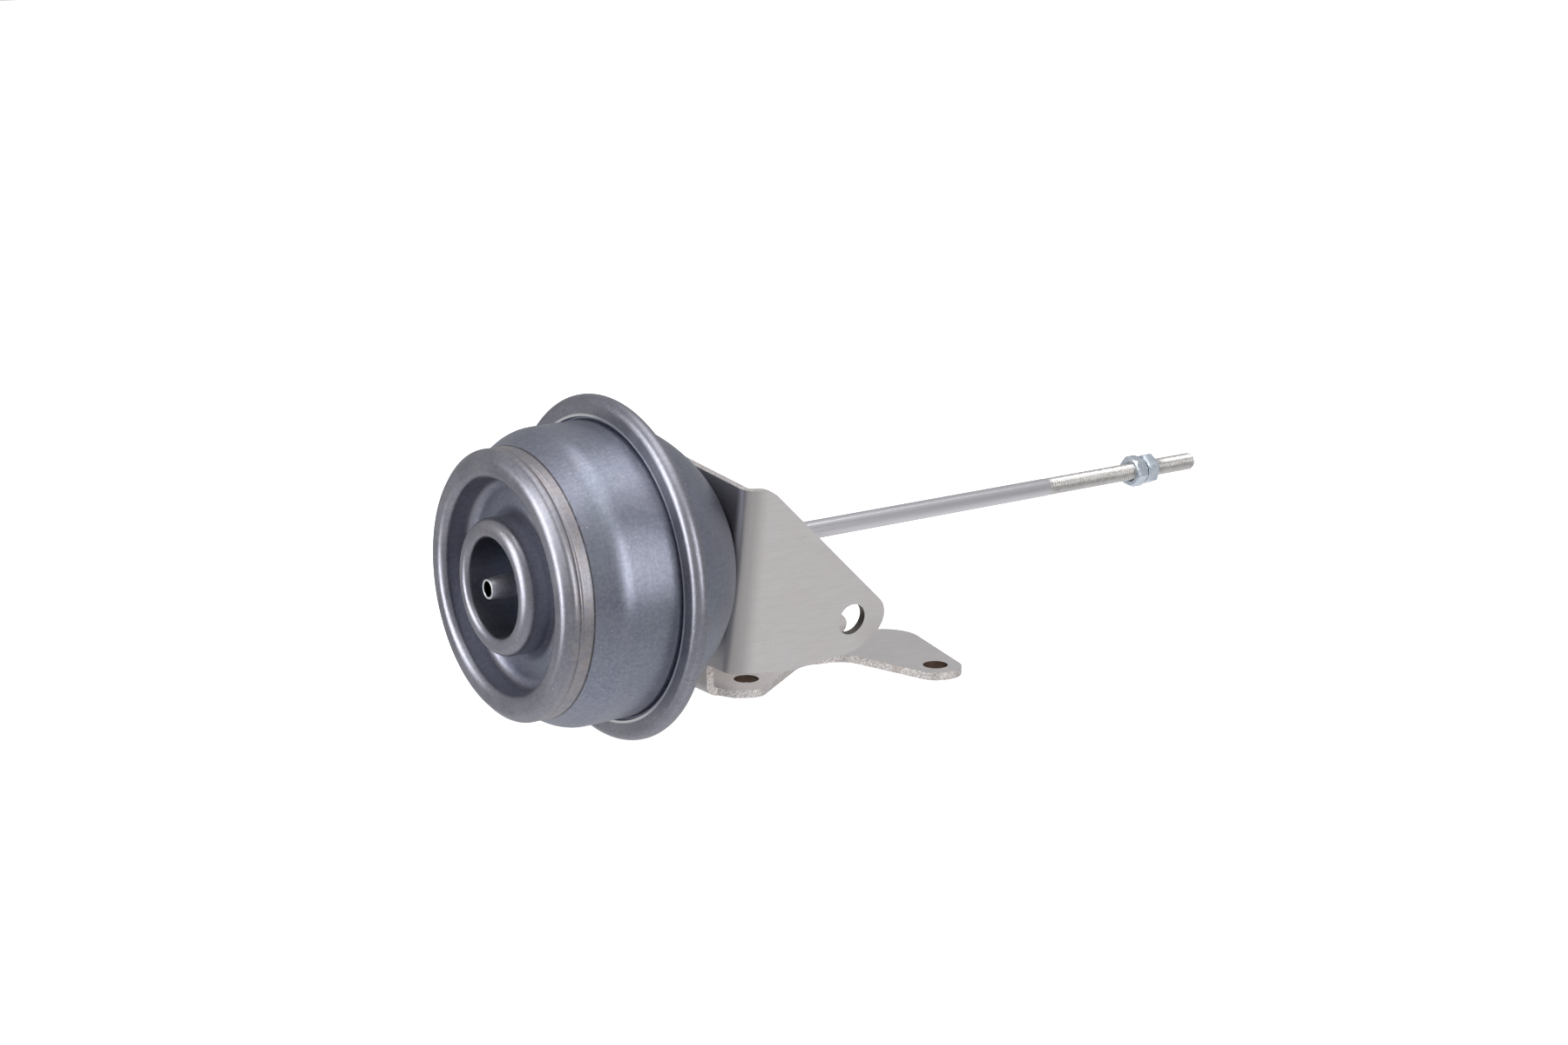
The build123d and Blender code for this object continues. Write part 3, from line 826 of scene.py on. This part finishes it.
# ================================================================ rivets, bush, wiper and retainer
inner_head = [(inner_x - 1.5, 0.0), (inner_x - 1.35, 2.0), (inner_x - 0.8, 2.9), (inner_x, 3.15)]
outer_head = [
    (plate_x, 3.18),
    (plate_x + 0.25, 3.15),
    (plate_x + 0.7, 2.8),
    (plate_x + 1.15, 2.1),
    (plate_x + 1.42, 1.1),
    (plate_x + 1.5, 0.0),
]
shank = [(inner_x, shank_radius), (plate_x, shank_radius)]
rivet_mesh = ring_mesh("rivet", inner_head + shank + outer_head, False, 48)
bm = bmesh.new()
for y, z in rivet_places:
    first = len(bm.verts)
    bm.from_mesh(rivet_mesh)
    bm.verts.ensure_lookup_table()
    bmesh.ops.translate(bm, verts=bm.verts[first:], vec=(0, y * MM, z * MM))
rivet_set = bpy.data.meshes.new("bracket_rivet_set")
bm.to_mesh(rivet_set)
bm.free()
shade_smooth(rivet_set)
rivets = new_object("bracket_rivet_set", rivet_set, "canister", "plain_steel", steel_plain)
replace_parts(rivets, "bracket_rivets")

bush_flange_x, bush_flange_radius, bush_bore_radius = inner_x - 2.6, 7.5, 2.55
wiper_start, wiper_radius, wiper_bore_radius = bush_end - wiper_depth, 4.2, 2.53
bush_profile = rounded_loop(
    [
        (bush_flange_x, bush_bore_radius),
        (bush_flange_x, bush_flange_radius),
        (inner_x, bush_flange_radius),
        (inner_x, bush_radius),
        (bush_end, bush_radius),
        (bush_end, wiper_radius),
        (wiper_start, wiper_radius),
        (wiper_start, bush_bore_radius),
    ],
    [0.1, 0.4, 0, 0, 0.6, 0.2, 0, 0],
    step=15.0,
)
turned_piece("guide_bush", "guide_bush_body", bush_profile, 96, "bush_polymer", bush_polymer)

wiper_profile = rounded_loop(
    [
        (wiper_start, wiper_bore_radius),
        (wiper_start, wiper_radius),
        (bush_end - 0.05, wiper_radius),
        (bush_end - 0.5, 3.2),
        (bush_end, wiper_bore_radius),
    ],
    [0, 0, 0.1, 0.4, 0.05],
    step=15.0,
)
turned_piece("dust_wiper", "dust_wiper_ring", wiper_profile, 96, "seal_rubber", dark_rubber)

retainer_radius, retainer_hole, retainer_end = high("bush_retainer", 2), 6.02, plate_x + 1.0
notch_depth, notch_width = 1.3, 0.16


def notched(x, radius, angle):
    """Six small notches round the retainer's hole, as on a push-on ring."""
    if radius > retainer_hole + 2.18 or abs(math.sin(3 * angle)) >= notch_width:
        return radius
    return radius + notch_depth


retainer_outline = rounded_loop(
    [
        (plate_x, retainer_hole),
        (plate_x, retainer_radius),
        (retainer_end, retainer_radius),
        (retainer_end, retainer_hole),
    ],
    [0, 0.2, 0.3, 0.2],
    step=20.0,
)
turned_piece(
    "bush_retainer", "bush_retainer_ring", retainer_outline, 144, "plain_steel", steel_plain, notched
)

# ================================================================ rod with its thread
def thread_depth(x, angle, deepest=0.46):
    """Depth of a right-hand 60 degree thread under its crest."""
    phase = (x / thread_pitch - angle / (2 * math.pi)) % 1.0
    from_crest = abs(phase - 0.5) * thread_pitch
    return min(max((from_crest - 0.05) * 1.75, 0.0), deepest)


def threaded(x, radius, angle):
    """Cuts the thread into the rod, fading in over its first turns."""
    if x < thread_start - 0.01 or radius < 1.0:
        return radius
    fade = min(1.0, (x - thread_start) / 1.6)
    return min(radius, thread_radius - thread_depth(x, angle) * fade)


washer_x, collar_x = low("clamp_washer", 0), low("rod_collar", 0)
rod_profile = [
    (rod_start, 0.0),
    (rod_start, 2.4),
    (rod_start + 0.25, 3.1),
    (rod_start + 0.8, 3.7),
    (washer_x, 3.8),
    (washer_x, tenon_radius),
    (collar_x, tenon_radius),
    (collar_x, rod_radius),
    (thread_start - 1.0, rod_radius),
    (thread_start - 0.6, rod_radius),
    (thread_start - 0.02, thread_radius),
]
thread_length = rod_end - tip_chamfer - thread_start
rows = int(thread_length / (thread_pitch / 14))
rod_profile += [(thread_start + thread_length * k / rows, thread_radius) for k in range(rows + 1)]
rod_profile += [(rod_end - tip_chamfer + 0.07 * k, thread_radius - 0.07 * k) for k in range(1, 10)]
rod_profile += [(rod_end, 1.72), (rod_end, 1.3), (rod_end, 0.0)]
rod_mesh = ring_mesh("actuator_rod_bar", rod_profile, False, 80, threaded, 28.0)
rod = new_object("actuator_rod_bar", rod_mesh, "rod", "rod_steel", steel_rod, steel_thread)
for polygon in rod_mesh.polygons:
    if polygon.center.x > (thread_start + 0.1) * MM:
        polygon.material_index = 1
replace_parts(rod, "actuator_rod")


# ================================================================ nuts
def nut(node, turn, count=180, bore_rings=43):
    """A hexagon nut: chamfered faces, slightly rounded corners and a countersunk threaded bore."""
    start, end = low(node, 0), high(node, 0)
    face_radius = nut_flat * 0.97
    longest = nut_flat / math.cos(math.radians(30)) - 0.05
    slope = math.tan(math.radians(30))
    bore_end = 0.43

    def section(angle):
        """The closed outline, as (x, radius) pairs, where the nut is cut at this angle."""
        from_flat = (math.degrees(angle) - turn) % 60.0 - 30.0
        reach = min(nut_flat / math.cos(math.radians(from_flat)), longest) - face_radius
        radii = [nut_bore_radius, countersink_radius, countersink_radius + 0.1]
        radii += [face_radius - 0.15, face_radius]
        half = [(max(0.0, countersink_radius - r), r) for r in radii]
        half.append((reach * slope * 0.55, face_radius + reach * 0.55))
        half.append((reach * slope, face_radius + reach - 0.03))
        half.append((reach * slope + 0.10, face_radius + reach))
        outline = [(start + depth, r) for depth, r in half]
        outline += [(end - depth, r) for depth, r in reversed(half)]
        for k in range(1, bore_rings + 1):
            x = end - bore_end - (end - start - 2 * bore_end) * k / (bore_rings + 1)
            outline.append((x, nut_bore_radius + 0.35 * thread_depth(x + thread_pitch / 2, angle)))
        return outline

    angles = [2 * math.pi * k / count for k in range(count)]
    sections = [section(angle) for angle in angles]
    row_count = len(sections[0])
    points, faces = [], []
    for row in range(row_count):
        for k in range(count):
            x, radius = sections[k][row]
            points.append((x, radius * math.cos(angles[k]), radius * math.sin(angles[k])))
    for row in range(row_count):
        this, following = row * count, ((row + 1) % row_count) * count
        for k in range(count):
            n = (k + 1) % count
            faces.append((this + k, following + k, following + n, this + n))
    name = node + "_hexagon"
    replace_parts(new_object(name, mesh_from(name, points, faces, 24.0), node, "nut_zinc", zinc), node)


nut("inner_nut", 8.0)
nut("outer_nut", 38.0)


# ================================================================ return spring
def coil_mesh(name, start, end, coil_radius, steps_a_turn=60, sides=14):
    """A closed coil of round wire about X, from start to end."""
    rise = end - start - 2 * wire_radius
    rise_a_turn = rise / (2 * math.pi * spring_turns * coil_radius)
    steps = steps_a_turn * spring_turns
    points, faces = [], []
    for i in range(steps + 1):
        angle = 2 * math.pi * spring_turns * i / steps
        outward = Vector((0.0, math.cos(angle), math.sin(angle)))
        along = Vector((rise_a_turn, -math.sin(angle), math.cos(angle))).normalized()
        across = along.cross(outward)
        centre = outward * coil_radius + Vector((start + wire_radius + rise * i / steps, 0.0, 0.0))
        for k in range(sides):
            turn = 2 * math.pi * k / sides
            points.append(centre + (outward * math.cos(turn) + across * math.sin(turn)) * wire_radius * 0.985)
    for i in range(steps):
        this, following = i * sides, (i + 1) * sides
        for k in range(sides):
            n = (k + 1) % sides
            faces.append((this + k, this + n, following + n, following + k))
    faces.append(tuple(range(sides)))
    faces.append(tuple(steps * sides + k for k in range(sides)))
    return mesh_from(name, points, faces, 50.0)


spring_start, spring_end = low("return_spring", 0), high("return_spring", 0)
coil_radius = high("return_spring", 2) - wire_radius
spring_mesh = coil_mesh("return_spring_coil", spring_start, spring_end, coil_radius)
coil = new_object("return_spring_coil", spring_mesh, "canister", "spring_steel", steel_spring)
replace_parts(coil, "return_spring")
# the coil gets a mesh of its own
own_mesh(coil)

# ================================================================ the CAD nodes' own finishes
shown_nodes = {
    "diaphragm": dark_rubber,
    "stop_bumper": dark_rubber,
    "spring_seat": steel_plain,
    "piston_cup": steel_plain,
    "clamp_washer": steel_plain,
    "diaphragm_plate": steel_plain,
    "rod_collar": steel_rod,
}
# these are hidden, and carry the finishes of the pieces that stand for them
replaced_nodes = {
    "front_cover": steel_canister,
    "rear_housing": steel_canister,
    "vacuum_nipple": steel_nipple,
    "nipple_braze": braze_metal,
    "bracket": nickel,
    "bracket_rivets": steel_plain,
    "guide_bush": bush_polymer,
    "dust_wiper": dark_rubber,
    "bush_retainer": steel_plain,
    "actuator_rod": steel_rod,
    "inner_nut": zinc,
    "outer_nut": zinc,
    "return_spring": steel_spring,
}
for name, material in {**shown_nodes, **replaced_nodes}.items():
    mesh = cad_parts[name].data
    mesh.materials.clear()
    mesh.materials.append(material)
for name in shown_nodes:
    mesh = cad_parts[name].data
    shade_smooth(mesh)
    mesh.set_sharp_from_angle(angle=math.radians(35))

# ================================================================ floor
floor_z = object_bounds()[0][2] - 0.2 * MM
floor_half = 5.0
floor_corners = [(x * floor_half, y * floor_half, floor_z) for x, y in ((-1, -1), (1, -1), (1, 1), (-1, 1))]
floor_mesh = bpy.data.meshes.new("floor")
floor_mesh.from_pydata(floor_corners, [], [(0, 1, 2, 3)])
floor = bpy.data.objects.new("floor", floor_mesh)
bpy.context.scene.collection.objects.link(floor)
s = Shader("floor_paper")
fibre = s.noise(s.place, 0.02, 3.0, 0.6)
paper = s.mix(s.span(fibre, 0.3, 0.7), (0.78, 0.78, 0.78), (0.82, 0.82, 0.82))
floor_mesh.materials.append(s.finish(paper, 0.9, 0.0, Emission_Color=(1, 1, 1, 1), Emission_Strength=0.82))
floor.visible_glossy = False

# ================================================================ studio walls, darkest at eye level
world = bpy.data.worlds.new("studio")
bpy.context.scene.world = world
world.use_nodes = True
tree = world.node_tree
tree.nodes.clear()
sky_out = tree.nodes.new("ShaderNodeOutputWorld")
sky = tree.nodes.new("ShaderNodeBackground")
where = tree.nodes.new("ShaderNodeTexCoord")
parts = tree.nodes.new("ShaderNodeSeparateXYZ")
shade = tree.nodes.new("ShaderNodeMapRange")
ramp = tree.nodes.new("ShaderNodeValToRGB")
tree.links.new(where.outputs["Generated"], parts.inputs[0])
tree.links.new(parts.outputs[2], shade.inputs[0])
shade.inputs["From Min"].default_value = -1.0
shade.inputs["From Max"].default_value = 1.0
tree.links.new(shade.outputs[0], ramp.inputs[0])
below, above = ramp.color_ramp.elements
below.position, below.color = 0.0, (0.86, 0.86, 0.88, 1)
above.position, above.color = 1.0, (0.60, 0.60, 0.62, 1)
for at, value in ((0.22, 0.62), (0.40, 0.46), (0.5, 0.40), (0.64, 0.44)):
    element = ramp.color_ramp.elements.new(at)
    element.color = (value, value, value * 1.02, 1)
tree.links.new(ramp.outputs[0], sky.inputs["Color"])
sky.inputs["Strength"].default_value = 1.0
tree.links.new(sky.outputs[0], sky_out.inputs[0])

# ================================================================ camera and lights
eye = Vector((-0.2758, -0.4964, 0.1588))
aim = Vector((0.060, 0.0, 0.0))
forward = Vector((0.57341, 0.78183, -0.24484)).normalized()
right = forward.cross(Vector((0, 0, 1))).normalized()
up = right.cross(forward).normalized()
level_forward = Vector((forward.x, forward.y, 0)).normalized()


def softbox(name, across, above, towards, size, power):
    """A soft rectangular light, set right of, above and in front of the aim point as the camera sees it."""
    data = bpy.data.lights.new(name, "AREA")
    data.shape = "RECTANGLE"
    data.size, data.size_y = size
    data.energy = power
    light = bpy.data.objects.new(name, data)
    bpy.context.scene.collection.objects.link(light)
    light.location = aim + right * across + Vector((0, 0, 1)) * above - level_forward * towards
    light.rotation_euler = (aim - light.location).to_track_quat("-Z", "Y").to_euler()


softbox("left_box", -0.85, 0.20, 0.45, (0.6, 1.1), 9.5)
softbox("right_box", 0.85, 0.30, 0.75, (0.5, 0.9), 4.4)
softbox("top_box", 0.15, 1.1, 0.05, (1.2, 0.9), 5.0)

camera_data = bpy.data.cameras.new("camera")
camera_data.lens = 56.0
camera_data.sensor_width = 36.0
camera_data.clip_start = 0.01
camera = bpy.data.objects.new("camera", camera_data)
bpy.context.scene.collection.objects.link(camera)
camera.matrix_world = Matrix(
    (
        (right.x, up.x, -forward.x, eye.x),
        (right.y, up.y, -forward.y, eye.y),
        (right.z, up.z, -forward.z, eye.z),
        (0, 0, 0, 1),
    )
)
bpy.context.scene.camera = camera
bpy.context.scene.view_settings.view_transform = "Standard"
